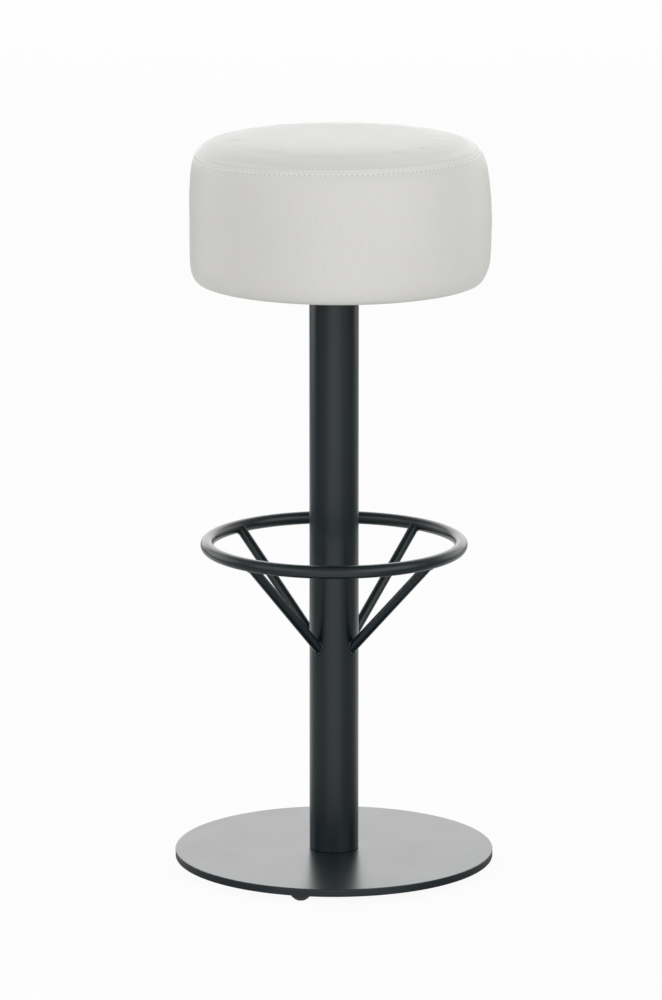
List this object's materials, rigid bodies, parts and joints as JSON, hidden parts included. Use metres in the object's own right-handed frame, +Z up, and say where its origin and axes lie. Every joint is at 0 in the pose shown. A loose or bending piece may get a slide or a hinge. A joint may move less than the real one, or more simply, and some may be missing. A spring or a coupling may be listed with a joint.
{
  "type": "counter stool",
  "caption": "Tall counter stool: a round upholstered seat that swivels on a single column, a footrest ring on slanted struts, and a flat round base on glides.",
  "frame": {"origin": "on the floor, under the middle of the base plate and the column", "axes": "+Z up along the column's axis, -Y to the front, towards the viewer of the picture, +X to that viewer's right"},
  "size_m": [0.37, 0.37, 0.855],
  "materials": {
    "powder_coat": "satin",
    "black_nylon": "matte",
    "zinc_steel": "satin",
    "white_nylon": "satin",
    "plywood": "matte",
    "foam": "matte",
    "faux_leather": "satin",
    "dust_cloth": "matte"
  },
  "bodies": {
    "stand": {"base_plate": "powder_coat", "glide_1": "black_nylon", "glide_2": "black_nylon", "glide_3": "black_nylon", "glide_4": "black_nylon", "glide_screw_1": "zinc_steel", "glide_screw_2": "zinc_steel", "glide_screw_3": "zinc_steel", "glide_screw_4": "zinc_steel", "base_screw_1": "zinc_steel", "base_screw_2": "zinc_steel", "base_screw_3": "zinc_steel", "column_tube": "powder_coat", "column_foot_plug": "zinc_steel", "column_head_plug": "zinc_steel", "lower_bush_carrier": "zinc_steel", "lower_bush": "white_nylon", "upper_bush": "white_nylon", "thrust_washer": "zinc_steel", "footrest_ring": "powder_coat", "strut_front_right": "powder_coat", "strut_back_right": "powder_coat", "strut_back_left": "powder_coat", "strut_front_left": "powder_coat"},
    "seat": {"spindle": "zinc_steel", "spindle_washer": "zinc_steel", "circlip": "zinc_steel", "seat_plate": "powder_coat", "seat_board": "plywood", "seat_bolt_1": "zinc_steel", "seat_bolt_2": "zinc_steel", "seat_bolt_3": "zinc_steel", "seat_bolt_4": "zinc_steel", "spring_washer_1": "zinc_steel", "spring_washer_2": "zinc_steel", "spring_washer_3": "zinc_steel", "spring_washer_4": "zinc_steel", "tee_nut_1": "zinc_steel", "tee_nut_2": "zinc_steel", "tee_nut_3": "zinc_steel", "tee_nut_4": "zinc_steel", "board_edge_padding": "foam", "foam_block": "foam", "cover_band": "faux_leather", "cover_top": "faux_leather", "dust_cover": "dust_cloth"}
  },
  "joints": [
    {"name": "seat_swivel", "type": "hinge", "parent": "stand", "child": "seat", "pos_m": [0, 0, 0.6756], "axis": [0, 0, 1], "continuous": true}
  ]
}
